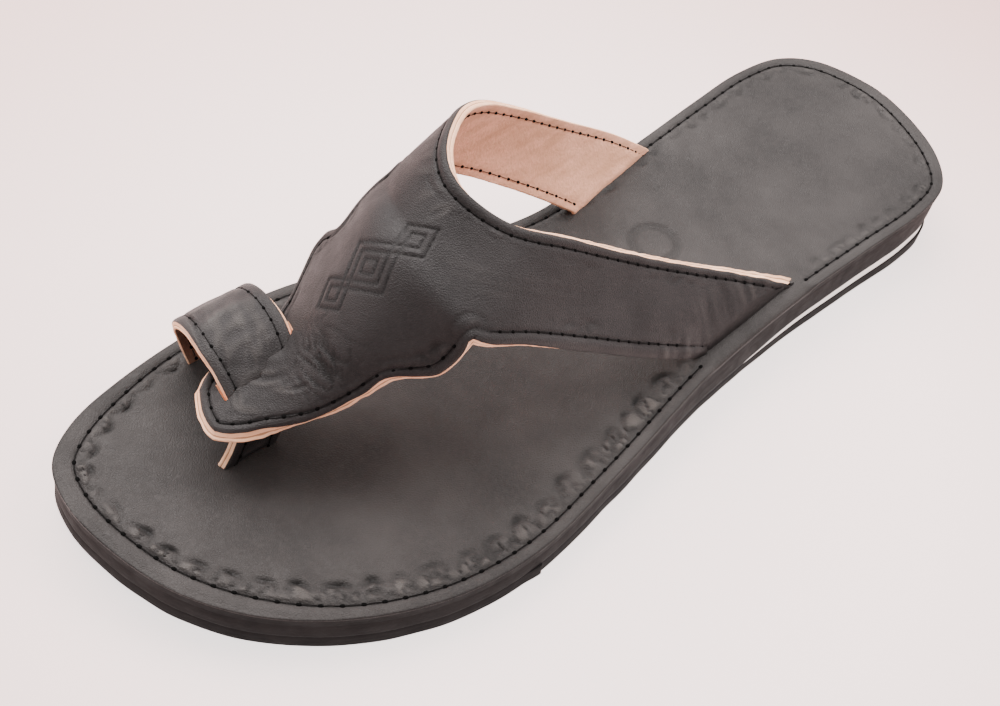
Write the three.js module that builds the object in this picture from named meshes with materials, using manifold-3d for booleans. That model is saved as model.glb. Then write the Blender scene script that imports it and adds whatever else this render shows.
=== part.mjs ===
// A left toe ring sandal in leather, standing empty on its sole.
// Millimetres, +Z up. The toe points to -Y and the outer side of the foot is +X.
// The origin is on the floor, under the middle of the heel.
import * as THREE from 'three';
import { mergeVertices } from 'three/addons/utils/BufferGeometryUtils.js';
import Module from 'manifold-3d';

const wasm = await Module();
wasm.setup();

// Driving sizes of the sole
const length = 292;            // heel back to toe tip
const ballWidth = 102;         // widest part of the forefoot
const heelBack = 41;           // the origin to the back of the heel
const forefootHeight = 11.3;   // top of the insole over the floor, under the ball
const waistHeight = 16.2;      // the same under the arch
const heelHeight = 19.5;       // the same under the heel
const toeSpring = 2.5;         // lift of the toe tip off the floor
const outsoleThick = 3.5;
const insoleThick = 3.0;
const wedgeThick = 4.2;        // the pale wedge at the back of the heel
const sideStep = 0.4;          // the layers under the insole stand back from its edge
const sideFlare = 1.2;         // and spread out again towards the floor
const heelRake = 2.6;          // how far the back of the heel slants in under itself

// Driving sizes of the upper and the toe ring
const strapThick = 2.6;        // grain leather and lining together
const instepRise = 62;         // the strap's highest point over the insole
const ringThick = 2.4;
const ringRise = 25;           // the ring's highest point over the insole
const fitGap = 0.3;            // between pieces that touch
const slitPlay = 0.5;          // round the toe ring where it goes through the upper
const slotPlay = 0.5;          // round each end of a strap in the insole

// How finely the curves are cut
const soleSteps = 54;
const stepsPerRow = 3;
const strapSteps = 6;
const vampSteps = 2;
const ringSteps = 2;
const ringAcross = 5;

// The sole's outline, from the heel's back round the outer side to the toe tip
// columns: share of the length, share of the ball's width
const outerSide = [
  [0.000, -0.039], [0.010, 0.118], [0.033, 0.255], [0.068, 0.348], [0.123, 0.382],
  [0.226, 0.385], [0.329, 0.387], [0.466, 0.415], [0.610, 0.485], [0.723, 0.525],
  [0.805, 0.495], [0.880, 0.402], [0.937, 0.275], [0.974, 0.127], [0.994, -0.039],
];
// and back along the inner side, from the toe tip
const innerSide = [
  [1.000, -0.186], [0.990, -0.304], [0.959, -0.382], [0.901, -0.441], [0.812, -0.480],
  [0.726, -0.475], [0.637, -0.412], [0.545, -0.324], [0.473, -0.284], [0.387, -0.299],
  [0.295, -0.328], [0.202, -0.358], [0.127, -0.377], [0.065, -0.358], [0.027, -0.284],
  [0.007, -0.167],
];

// Height of the insole's top: share of the length, height
const footbed = [
  [0.00, heelHeight], [0.16, heelHeight], [0.30, (heelHeight * 2 + waistHeight) / 3],
  [0.47, waistHeight], [0.58, (waistHeight + forefootHeight) / 2],
  [0.70, forefootHeight], [1.00, forefootHeight],
];
// Thickness of the pale wedge: share of the length, share of its full thickness
const wedgeRun = [[0.00, 1.0], [0.12, 0.95], [0.29, 0.72], [0.35, 0.45], [0.405, 0.0]];
const wedgeEnd = 0.38;         // where it has thinned to its front edge

// The strap over the instep, one row for each section from the inner slot to the outer one.
// columns: rear edge (along, across, up), front edge (along, across, up),
// as shares of the length, of the ball's width and of the instep's rise over the insole
const strapRows = [
  [0.312, -0.287, 0.000, 0.442, -0.225, 0.000],
  [0.366, -0.330, 0.180, 0.479, -0.265, 0.130],
  [0.435, -0.349, 0.398, 0.527, -0.311, 0.295],
  [0.500, -0.350, 0.620, 0.575, -0.337, 0.465],
  [0.555, -0.332, 0.808, 0.620, -0.335, 0.610],
  [0.603, -0.274, 0.940, 0.657, -0.312, 0.720],
  [0.649, -0.170, 1.000, 0.689, -0.208, 0.825],
  [0.661, -0.074, 0.965, 0.712, -0.049, 0.840],
  [0.638, 0.022, 0.858, 0.719, 0.088, 0.775],
  [0.589, 0.083, 0.728, 0.716, 0.181, 0.685],
  [0.517, 0.143, 0.505, 0.664, 0.225, 0.565],
  [0.459, 0.190, 0.338, 0.606, 0.275, 0.405],
  [0.390, 0.252, 0.170, 0.548, 0.319, 0.235],
  [0.315, 0.333, 0.000, 0.466, 0.363, 0.000],
];
const innerCorner = 5;         // the rows between which the vamp leaves the strap
const outerCorner = 9;

// The vamp from the strap to its tip between the toes, one row for each section.
// columns: inner edge (along, across, up as above), how much of the row is cut off there,
// ridge (along, across, up), outer edge (along, across, up), how much is cut off there
const vampRows = [
  [0.675, -0.312, 0.684, -0.02, 0.728, -0.088, 0.818, 0.724, 0.169, 0.608, -0.01],
  [0.688, -0.314, 0.636, 0.00, 0.748, -0.088, 0.729, 0.743, 0.151, 0.531, -0.02],
  [0.704, -0.319, 0.576, 0.05, 0.769, -0.083, 0.624, 0.764, 0.110, 0.450, 0.05],
  [0.717, -0.325, 0.511, -0.02, 0.788, -0.078, 0.519, 0.782, 0.071, 0.382, 0.01],
  [0.736, -0.320, 0.423, -0.04, 0.807, -0.074, 0.418, 0.802, 0.048, 0.321, -0.01],
  [0.760, -0.288, 0.334, -0.01, 0.827, -0.083, 0.346, 0.826, 0.013, 0.275, -0.01],
  [0.795, -0.265, 0.266, 0.00, 0.848, -0.103, 0.293, 0.848, -0.010, 0.251, 0.00],
  [0.836, -0.267, 0.239, 0.00, 0.863, -0.123, 0.265, 0.865, -0.027, 0.243, 0.00],
  [0.860, -0.247, 0.237, 0.00, 0.877, -0.137, 0.244, 0.881, -0.057, 0.234, 0.00],
  [0.877, -0.216, 0.231, 0.00, 0.889, -0.145, 0.229, 0.890, -0.088, 0.229, 0.00],
];

// The toe ring, one row for each section from its inner slot to the slot between the toes.
// columns: across, front edge (along, up), rear edge (along, up), with up as a share of ringRise
const ringRows = [
  [-0.400, 0.846, 0.000, 0.784, 0.000],
  [-0.408, 0.848, 0.120, 0.783, 0.120],
  [-0.420, 0.851, 0.340, 0.781, 0.340],
  [-0.414, 0.855, 0.560, 0.782, 0.576],
  [-0.378, 0.858, 0.752, 0.784, 0.800],
  [-0.324, 0.860, 0.848, 0.786, 0.952],
  [-0.265, 0.862, 0.840, 0.788, 1.008],
  [-0.211, 0.862, 0.776, 0.791, 1.008],
  [-0.163, 0.863, 0.676, 0.795, 0.936],
  [-0.122, 0.864, 0.556, 0.799, 0.792],
  [-0.100, 0.866, 0.384, 0.807, 0.560],
  [-0.094, 0.873, 0.184, 0.817, 0.240],
  [-0.090, 0.881, 0.040, 0.827, 0.040],
  [-0.090, 0.883, 0.000, 0.828, 0.000],
];

// Value of a short table at a share of the length, on a smooth curve through its rows
function tableValue(rows, share) {
  const last = rows.length - 1;
  let i = 0;
  while (i < last - 1 && share > rows[i + 1][0]) i += 1;
  const slope = (k) => {
    const before = rows[Math.max(k - 1, 0)];
    const after = rows[Math.min(k + 1, last)];
    return (after[1] - before[1]) / (after[0] - before[0]);
  };
  const [x0, y0] = rows[i];
  const [x1, y1] = rows[i + 1];
  const run = x1 - x0;
  const t = THREE.MathUtils.clamp((share - x0) / run, 0, 1);
  const level = y0 === y1;
  const m0 = level ? 0 : slope(i) * run;
  const m1 = level ? 0 : slope(i + 1) * run;
  const t2 = t * t;
  const t3 = t2 * t;
  return (2 * t3 - 3 * t2 + 1) * y0 + (t3 - 2 * t2 + t) * m0
    + (3 * t2 - 2 * t3) * y1 + (t3 - t2) * m1;
}

const yOf = (along) => heelBack - along * length;
const alongOf = (y) => (heelBack - y) / length;

// The whole sole lifts a little towards the toe tip
function springOf(y) {
  const start = 0.80;
  const share = Math.max(alongOf(y) - start, 0) / (1 - start);
  return toeSpring * share * share;
}
const insoleTop = (y) => tableValue(footbed, alongOf(y)) + springOf(y);
const insoleBottom = (y) => insoleTop(y) - insoleThick;
const outsoleTop = (y) => outsoleThick + springOf(y);
function wedgeTop(y) {
  const share = Math.max(tableValue(wedgeRun, alongOf(y)), 0);
  return outsoleTop(y) + wedgeThick * share;
}

// A quad mesh that is collected face by face, its corners merged at the end
class Faces {
  constructor() {
    this.points = [];
  }

  triangle(a, b, c) {
    const tiny = 1e-6;
    if (a.distanceTo(b) < tiny || b.distanceTo(c) < tiny || c.distanceTo(a) < tiny) return;
    this.points.push(a, b, c);
  }

  quad(a, b, c, d) {
    this.triangle(a, b, c);
    this.triangle(a, c, d);
  }

  geometry() {
    return mergeVertices(new THREE.BufferGeometry().setFromPoints(this.points), 1e-4);
  }
}

function toManifold(geometry) {
  const bare = geometry.clone();
  bare.deleteAttribute('normal');
  bare.deleteAttribute('uv');
  const merged = mergeVertices(bare, 1e-4);
  return new wasm.Manifold(new wasm.Mesh({
    numProp: 3,
    vertProperties: new Float32Array(merged.attributes.position.array),
    triVerts: new Uint32Array(merged.index.array),
  }));
}

function toGeometry(manifold) {
  const cut = manifold.getMesh();
  const geometry = new THREE.BufferGeometry();
  geometry.setAttribute('position', new THREE.BufferAttribute(cut.vertProperties, 3));
  geometry.setIndex(new THREE.BufferAttribute(cut.triVerts, 1));
  geometry.computeVertexNormals();
  return geometry;
}

// The outline as pairs of points, outer and inner, from the heel's back to the toe tip
function outlinePairs(firstShare = 0, lastShare = 1) {
  const rim = [...outerSide, ...innerSide].map(
    ([along, across]) => new THREE.Vector3(across * ballWidth, yOf(along), 0));
  const curve = new THREE.CatmullRomCurve3(rim, true, 'centripetal');
  const fine = curve.getPoints(rim.length * 24);
  const tip = fine.reduce((best, p, i) => (p.y < fine[best].y ? i : best), 0);
  const back = fine.reduce((best, p, i) => (p.y > fine[best].y ? i : best), 0);
  const walk = (step) => {
    const side = [];
    for (let i = back; i !== tip; i = (i + step + fine.length - 1) % (fine.length - 1)) {
      side.push(fine[i]);
    }
    side.push(fine[tip]);
    return side;
  };
  const outer = walk(1);
  const inner = walk(-1);
  const xAt = (side, y) => {
    const i = Math.max(side.findIndex((p) => p.y <= y), 1);
    const t = (side[i - 1].y - y) / Math.max(side[i - 1].y - side[i].y, 1e-9);
    return THREE.MathUtils.lerp(side[i - 1].x, side[i].x, THREE.MathUtils.clamp(t, 0, 1));
  };
  const from = fine[back].y;
  const run = fine[tip].y - from;
  const pairs = [];
  for (let k = 0; k <= soleSteps; k += 1) {
    const ease = (1 - Math.cos((Math.PI * k) / soleSteps)) / 2;
    const y = from + run * THREE.MathUtils.lerp(firstShare, lastShare, ease);
    pairs.push([new THREE.Vector2(xAt(outer, y), y), new THREE.Vector2(xAt(inner, y), y)]);
  }
  return pairs;
}

// The outline moved inwards by inset(y), square to itself
function insetPairs(pairs, inset) {
  const n = pairs.length;
  const shifted = (k, side) => {
    const sign = side === 0 ? 1 : -1;
    const before = pairs[Math.max(k - 1, 0)][side];
    const after = pairs[Math.min(k + 1, n - 1)][side];
    const run = after.clone().sub(before).normalize();
    const inward = new THREE.Vector2(run.y, -run.x).multiplyScalar(sign);
    if (k === 0) inward.set(0, -1);
    if (k === n - 1) inward.set(0, 1);
    const p = pairs[k][side];
    return p.clone().addScaledVector(inward, inset(p.y));
  };
  return pairs.map((_, k) => [shifted(k, 0), shifted(k, 1)]);
}

// A layer of the sole between two heights that follow y
function soleLayer(pairs, low, high, insetLow, insetHigh) {
  const lift = (p, height) => new THREE.Vector3(p.x, p.y, height(p.y));
  const bottom = insetPairs(pairs, insetLow).map((pair) => pair.map((p) => lift(p, low)));
  const top = insetPairs(pairs, insetHigh).map((pair) => pair.map((p) => lift(p, high)));
  const faces = new Faces();
  const last = pairs.length - 1;
  for (let k = 0; k < last; k += 1) {
    const [outer, inner] = top[k];
    const [outerNext, innerNext] = top[k + 1];
    const [outerLow, innerLow] = bottom[k];
    const [outerLowNext, innerLowNext] = bottom[k + 1];
    faces.quad(outer, inner, innerNext, outerNext);
    faces.quad(innerLow, outerLow, outerLowNext, innerLowNext);
    faces.quad(outerLow, outer, outerNext, outerLowNext);
    faces.quad(inner, innerLow, innerLowNext, innerNext);
  }
  faces.quad(bottom[0][0], bottom[0][1], top[0][1], top[0][0]);
  faces.quad(bottom[last][1], bottom[last][0], top[last][0], top[last][1]);
  return faces.geometry();
}

// How far the side stands in from the insole's edge at a height over the floor
function sideInset(height) {
  return (y) => {
    const down = THREE.MathUtils.clamp(1 - height(y) / insoleBottom(y), 0, 1);
    const nearBack = THREE.MathUtils.smoothstep(y, heelBack - ballWidth * 0.3, heelBack);
    return sideStep - sideFlare * down * (1 - nearBack) + heelRake * down * nearBack;
  };
}

// A sheet of quads with a thickness, given by its middle surface
function thicken(vertices, quads, thick) {
  const normals = vertices.map(() => new THREE.Vector3());
  const edges = new Map();
  for (const quad of quads) {
    const [a, b, c, d] = quad.map((i) => vertices[i]);
    const across = c.clone().sub(a);
    const normal = across.cross(d.clone().sub(b)).normalize();
    quad.forEach((i, k) => {
      normals[i].add(normal);
      const next = quad[(k + 1) % 4];
      const back = `${next},${i}`;
      if (edges.has(back)) edges.delete(back);
      else edges.set(`${i},${next}`, [i, next]);
    });
  }
  const side = (sign) => vertices.map(
    (p, i) => p.clone().addScaledVector(normals[i].clone().normalize(), (sign * thick) / 2));
  const outer = side(1);
  const inner = side(-1);
  const faces = new Faces();
  for (const quad of quads) {
    const [a, b, c, d] = quad;
    faces.quad(outer[a], outer[b], outer[c], outer[d]);
    faces.quad(inner[d], inner[c], inner[b], inner[a]);
  }
  for (const [a, b] of edges.values()) faces.quad(outer[b], outer[a], inner[a], inner[b]);
  return faces.geometry();
}

// A point of the upper from its shares, over the insole's top
function upperPoint(along, across, up, rise) {
  const y = yOf(along);
  return new THREE.Vector3(across * ballWidth, y, insoleTop(y) + up * rise);
}

const smoothPoints = (points, steps) => new THREE.CatmullRomCurve3(points, false, 'catmullrom', 0.5)
  .getPoints((points.length - 1) * steps);

// The instep strap and the vamp as one sheet, with the strap's two ends in the insole
function upperSheet() {
  const rear = smoothPoints(strapRows.map((r) => upperPoint(r[0], r[1], r[2], instepRise)), stepsPerRow);
  const front = smoothPoints(strapRows.map((r) => upperPoint(r[3], r[4], r[5], instepRise)), stepsPerRow);
  // each end goes straight down into its slot
  const tab = new THREE.Vector3(0, 0, -(insoleThick - fitGap));
  for (const edge of [rear, front]) {
    edge.unshift(edge[0].clone().add(tab));
    edge.push(edge[edge.length - 1].clone().add(tab));
  }
  const vertices = [];
  const quads = [];
  const strap = [];
  for (let j = 0; j <= strapSteps; j += 1) {
    strap.push(rear.map((p, i) => vertices.push(p.clone().lerp(front[i], j / strapSteps)) - 1));
  }
  const fill = (rows) => {
    for (let j = 0; j < rows.length - 1; j += 1) {
      for (let i = 0; i < rows[j].length - 1; i += 1) {
        quads.push([rows[j][i], rows[j + 1][i], rows[j + 1][i + 1], rows[j][i + 1]]);
      }
    }
  };
  fill(strap);

  // the vamp starts on the strap's front edge, between its two corners
  const first = innerCorner * stepsPerRow + 1;
  const last = outerCorner * stepsPerRow + 1;
  const start = strap[strapSteps].slice(first, last + 1);
  const columns = last - first;
  const startPoint = (share) => vertices[start[Math.round(share * columns)]];
  const line = (c, first) => smoothPoints([first, ...vampRows.map(
    (r) => upperPoint(r[c], r[c + 1], r[c + 2], instepRise))], vampSteps);
  const innerEdge = line(0, startPoint(0));
  const ridge = line(4, startPoint(0.5));
  const outerEdge = line(7, startPoint(1));
  const cutOff = (c, j) => {
    const at = Math.max(j / vampSteps - 1, 0);
    const k = Math.min(Math.floor(at), vampRows.length - 2);
    return THREE.MathUtils.lerp(vampRows[k][c], vampRows[k + 1][c], at - k);
  };
  const vamp = [start];
  for (let j = 1; j < ridge.length; j += 1) {
    const from = cutOff(3, j);
    const to = 1 - cutOff(10, j);
    const row = [];
    for (let i = 0; i <= columns; i += 1) {
      const u = THREE.MathUtils.lerp(from, to, i / columns);
      const p = innerEdge[j].clone().multiplyScalar((1 - u) * (1 - 2 * u));
      p.addScaledVector(ridge[j], 4 * u * (1 - u));
      p.addScaledVector(outerEdge[j], u * (2 * u - 1));
      row.push(vertices.push(p) - 1);
    }
    vamp.push(row);
  }
  fill(vamp);
  return { vertices, quads };
}

// The toe ring's band as a sheet, with both ends in the insole, its two edges moved apart by widen
function ringSheet(widen) {
  const edge = (along, up, shift) => smoothPoints(ringRows.map((r) => {
    const p = upperPoint(r[along], r[0], r[up], ringRise);
    p.y += shift;
    return p;
  }), ringSteps);
  const rear = edge(3, 4, widen);
  const front = edge(1, 2, -widen);
  const tab = new THREE.Vector3(0, 0, -(insoleThick - fitGap));
  for (const line of [rear, front]) {
    line.unshift(line[0].clone().add(tab));
    line.push(line[line.length - 1].clone().add(tab));
  }
  const vertices = [];
  const rows = [];
  for (let j = 0; j <= ringAcross; j += 1) {
    rows.push(rear.map((p, i) => vertices.push(p.clone().lerp(front[i], j / ringAcross)) - 1));
  }
  const quads = [];
  for (let j = 0; j < ringAcross; j += 1) {
    for (let i = 0; i < rear.length - 1; i += 1) {
      quads.push([rows[j][i], rows[j + 1][i], rows[j + 1][i + 1], rows[j][i + 1]]);
    }
  }
  return { vertices, quads };
}

// A slot straight down through the insole for the end of a strap
function slotCutter(rearEnd, frontEnd, thick) {
  const run = new THREE.Vector2(frontEnd.x - rearEnd.x, frontEnd.y - rearEnd.y).normalize();
  const across = new THREE.Vector2(-run.y, run.x).multiplyScalar(thick / 2 + slotPlay);
  run.multiplyScalar(slotPlay);
  const corner = (end, s, t) => new THREE.Vector2(
    end.x + s * run.x + t * across.x, end.y + s * run.y + t * across.y);
  const shape = new THREE.Shape([
    corner(rearEnd, -1, -1), corner(frontEnd, 1, -1), corner(frontEnd, 1, 1), corner(rearEnd, -1, 1),
  ]);
  const depth = heelHeight + insoleThick;
  return new THREE.ExtrudeGeometry(shape, { depth, bevelEnabled: false });
}

function insole(pairs) {
  const flush = () => 0;
  let body = toManifold(soleLayer(pairs, insoleBottom, insoleTop, flush, flush));
  const end = (row, c, across) => new THREE.Vector3(row[across] * ballWidth, yOf(row[c]), 0);
  for (const row of [strapRows[0], strapRows[strapRows.length - 1]]) {
    body = body.subtract(toManifold(slotCutter(end(row, 0, 1), end(row, 3, 4), strapThick)));
  }
  for (const row of [ringRows[0], ringRows[ringRows.length - 1]]) {
    body = body.subtract(toManifold(slotCutter(end(row, 3, 0), end(row, 1, 0), ringThick)));
  }
  return toGeometry(body);
}

// The upper with the slit that lets the toe ring through
function upper() {
  const sheet = upperSheet();
  const ring = ringSheet(slitPlay);
  const body = toManifold(thicken(sheet.vertices, sheet.quads, strapThick));
  const cutter = toManifold(thicken(ring.vertices, ring.quads, ringThick + 2 * slitPlay));
  return toGeometry(body.subtract(cutter));
}

function toeRing() {
  const ring = ringSheet(0);
  return thicken(ring.vertices, ring.quads, ringThick);
}

const sandal = new THREE.Group();

function addPiece(name, geometry, color, roughness) {
  geometry.computeVertexNormals();
  const material = new THREE.MeshStandardMaterial({ color, roughness, metalness: 0 });
  const mesh = new THREE.Mesh(geometry, material);
  mesh.name = name;
  sandal.add(mesh);
}

const wholeSole = outlinePairs();
const heelPart = outlinePairs(0, wedgeEnd);
const floorLevel = (y) => springOf(y);
const above = (height) => (y) => height(y) + fitGap;
const below = (height) => (y) => height(y) - fitGap;

addPiece('outsole', soleLayer(
  wholeSole, floorLevel, outsoleTop, sideInset(floorLevel), sideInset(outsoleTop)), 0x2b2727, 0.8);
addPiece('heel_wedge', soleLayer(
  heelPart, above(outsoleTop), wedgeTop, sideInset(outsoleTop), sideInset(wedgeTop)), 0xe6e0da, 0.7);
addPiece('midsole', soleLayer(
  wholeSole, above(wedgeTop), below(insoleBottom), sideInset(wedgeTop), sideInset(insoleBottom)),
0x3a3535, 0.7);
addPiece('insole', insole(wholeSole), 0x4a4443, 0.6);
addPiece('upper', upper(), 0x3c3636, 0.55);
addPiece('toe_ring', toeRing(), 0x3c3636, 0.55);

export default sandal;
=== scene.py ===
"""A left toe ring sandal in dark waxed leather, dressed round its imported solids.

Lengths are in millimetres in the part's own frame until a mesh is made. The toe points to -Y and
the outer side of the foot is +X. The origin is on the floor under the middle of the heel.
"""
import math

import bpy
import numpy as np
from mathutils import Matrix, Vector, noise


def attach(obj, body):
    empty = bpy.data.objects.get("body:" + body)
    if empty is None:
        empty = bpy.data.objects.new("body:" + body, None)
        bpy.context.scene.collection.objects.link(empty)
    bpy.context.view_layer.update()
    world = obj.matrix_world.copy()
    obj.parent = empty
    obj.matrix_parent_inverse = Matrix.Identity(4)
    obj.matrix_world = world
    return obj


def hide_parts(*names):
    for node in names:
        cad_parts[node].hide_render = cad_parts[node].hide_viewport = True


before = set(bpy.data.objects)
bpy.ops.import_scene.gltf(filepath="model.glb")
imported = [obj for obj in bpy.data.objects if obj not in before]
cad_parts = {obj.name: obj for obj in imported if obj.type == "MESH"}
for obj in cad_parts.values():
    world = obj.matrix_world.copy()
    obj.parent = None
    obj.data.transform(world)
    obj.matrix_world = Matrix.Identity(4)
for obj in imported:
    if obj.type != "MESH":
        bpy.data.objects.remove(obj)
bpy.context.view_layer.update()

MM = 0.001

# Sizes shared with the solids
SOLE_LENGTH = 292
BALL_WIDTH = 102
HEEL_BACK = 41
FOREFOOT_HEIGHT = 11.3
WAIST_HEIGHT = 16.2
HEEL_HEIGHT = 19.5
TOE_SPRING = 2.5
SPRING_START = 0.80
OUTSOLE_THICK = 3.5
INSOLE_THICK = 3.0
WEDGE_THICK = 4.2
PRESSED_SHARE = 0.20          # share of the wedge that the outsole covers
OUTSOLE_OUT = 0.8             # how far the outsole stands out past the wall above, at the back
WEDGE_TIP = 0.402             # the dressed wedge runs on to a fine point
SIDE_SETBACK = 0.4
SIDE_FLARE = 1.2
HEEL_RAKE = 2.6
STRAP_THICK = 2.6
INSTEP_RISE = 62
RING_THICK = 2.4
RING_RISE = 25
FIT_GAP = 0.3
SLIT_PLAY = 0.5

OUTER_SIDE = [
    [0.000, -0.039], [0.010, 0.118], [0.033, 0.255], [0.068, 0.348], [0.123, 0.382],
    [0.226, 0.385], [0.329, 0.387], [0.466, 0.415], [0.610, 0.485], [0.723, 0.525],
    [0.805, 0.495], [0.880, 0.402], [0.937, 0.275], [0.974, 0.127], [0.994, -0.039],
]
INNER_SIDE = [
    [1.000, -0.186], [0.990, -0.304], [0.959, -0.382], [0.901, -0.441], [0.812, -0.480],
    [0.726, -0.475], [0.637, -0.412], [0.545, -0.324], [0.473, -0.284], [0.387, -0.299],
    [0.295, -0.328], [0.202, -0.358], [0.127, -0.377], [0.065, -0.358], [0.027, -0.284],
    [0.007, -0.167],
]
FOOTBED = [
    [0.00, HEEL_HEIGHT], [0.16, HEEL_HEIGHT], [0.30, (HEEL_HEIGHT * 2 + WAIST_HEIGHT) / 3],
    [0.47, WAIST_HEIGHT], [0.58, (WAIST_HEIGHT + FOREFOOT_HEIGHT) / 2],
    [0.70, FOREFOOT_HEIGHT], [1.00, FOREFOOT_HEIGHT],
]
WEDGE_RUN = [[0.00, 1.0], [0.12, 0.95], [0.29, 0.72], [0.35, 0.45], [0.405, 0.0]]

# The strap: rear edge (along, across, up), front edge (along, across, up)
STRAP_ROWS = [
    [0.312, -0.287, 0.000, 0.442, -0.225, 0.000],
    [0.366, -0.330, 0.180, 0.479, -0.265, 0.130],
    [0.435, -0.349, 0.398, 0.527, -0.311, 0.295],
    [0.500, -0.350, 0.620, 0.575, -0.337, 0.465],
    [0.555, -0.332, 0.808, 0.620, -0.335, 0.610],
    [0.603, -0.274, 0.940, 0.657, -0.312, 0.720],
    [0.649, -0.170, 1.000, 0.689, -0.208, 0.825],
    [0.661, -0.074, 0.965, 0.712, -0.049, 0.840],
    [0.638, 0.022, 0.858, 0.719, 0.088, 0.775],
    [0.589, 0.083, 0.728, 0.716, 0.181, 0.685],
    [0.517, 0.143, 0.505, 0.664, 0.225, 0.565],
    [0.459, 0.190, 0.338, 0.606, 0.275, 0.405],
    [0.390, 0.252, 0.170, 0.548, 0.319, 0.235],
    [0.315, 0.333, 0.000, 0.466, 0.363, 0.000],
]
INNER_CORNER = 5
OUTER_CORNER = 9
# The vamp: inner edge, cut there, ridge, outer edge, cut there
VAMP_ROWS = [
    [0.675, -0.312, 0.684, -0.02, 0.728, -0.088, 0.818, 0.724, 0.169, 0.608, -0.01],
    [0.688, -0.314, 0.636, 0.00, 0.748, -0.088, 0.729, 0.743, 0.151, 0.531, -0.02],
    [0.704, -0.319, 0.576, 0.05, 0.769, -0.083, 0.624, 0.764, 0.110, 0.450, 0.05],
    [0.717, -0.325, 0.511, -0.02, 0.788, -0.078, 0.519, 0.782, 0.071, 0.382, 0.01],
    [0.736, -0.320, 0.423, -0.04, 0.807, -0.074, 0.418, 0.802, 0.048, 0.321, -0.01],
    [0.760, -0.288, 0.334, -0.01, 0.827, -0.083, 0.346, 0.826, 0.013, 0.275, -0.01],
    [0.795, -0.265, 0.266, 0.00, 0.848, -0.103, 0.293, 0.848, -0.010, 0.251, 0.00],
    [0.836, -0.267, 0.239, 0.00, 0.863, -0.123, 0.265, 0.865, -0.027, 0.243, 0.00],
    [0.860, -0.247, 0.237, 0.00, 0.877, -0.137, 0.244, 0.881, -0.057, 0.234, 0.00],
    [0.877, -0.216, 0.231, 0.00, 0.889, -0.145, 0.229, 0.890, -0.088, 0.229, 0.00],
]
# The toe ring: across, front edge (along, up), rear edge (along, up)
RING_ROWS = [
    [-0.400, 0.846, 0.000, 0.784, 0.000],
    [-0.408, 0.848, 0.120, 0.783, 0.120],
    [-0.420, 0.851, 0.340, 0.781, 0.340],
    [-0.414, 0.855, 0.560, 0.782, 0.576],
    [-0.378, 0.858, 0.752, 0.784, 0.800],
    [-0.324, 0.860, 0.848, 0.786, 0.952],
    [-0.265, 0.862, 0.840, 0.788, 1.008],
    [-0.211, 0.862, 0.776, 0.791, 1.008],
    [-0.163, 0.863, 0.676, 0.795, 0.936],
    [-0.122, 0.864, 0.556, 0.799, 0.792],
    [-0.100, 0.866, 0.384, 0.807, 0.560],
    [-0.094, 0.873, 0.184, 0.817, 0.240],
    [-0.090, 0.881, 0.040, 0.827, 0.040],
    [-0.090, 0.883, 0.000, 0.828, 0.000],
]

# Sizes of the finish
GRAIN_LAYER = 1.3             # the dark leather over its lining
DYED_SKIN = 0.35              # how deep the dye shows on a cut edge
STRAP_STITCH_IN = 3.2         # from a cut edge to its stitches
LINING_STITCH_IN = 2.4        # the same on the lining
STRAP_STITCH = 4.0            # from hole to hole on the upper and the ring
SOLE_STITCH_IN = 3.4          # from the sole's edge to its stitches, along the sides
SOLE_STITCH_ENDS = 1.5        # further in at the toe and the heel
RIM_RADIUS = 0.5              # rounding of the insole's upper edge
FOOT_DROP = 1.3               # how far the insole's edge is pressed down by the strap's foot
NICK_AT = 236.0               # along the outline to a step in the outsole's trimmed edge
# Share of an edge and how far the dark leather stops short of its lining there
REAR_SETBACK = [(0.0, 0.2), (0.42, 0.15), (0.55, 0.35), (0.68, 0.9), (0.85, 1.2), (1.0, 2.2)]
FRONT_SETBACK = [
    (0.0, 0.2), (0.20, 0.3), (0.45, 0.8), (0.50, 1.3), (0.54, 1.3), (0.57, 2.2), (0.62, 2.9),
    (0.66, 1.9), (0.70, 0.8), (0.74, 0.5), (0.78, 0.2), (0.83, -0.4), (0.95, -0.5), (1.0, -0.3),
]
SOLE_STITCH = 4.85            # from hole to hole on the sole
THREAD = 0.11                 # the thread's radius on the upper and the ring
HOLE = 0.54                   # a stitch hole's radius there
STITCH_LIFT = 0.12            # the thread's line over the leather there
SOLE_THREAD = 0.14            # and the same three on the sole
SOLE_HOLE = 0.64
SOLE_STITCH_LIFT = 0.22
THREAD_BENDS = 7              # points along a stitch
THREAD_SIDES = 6
HOLE_SIDES = 10
# How far from the origin towards the toe the strap's outer foot begins, is full, ends and is over
STRAP_FOOT = (47, 53, 92, 99)

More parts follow.
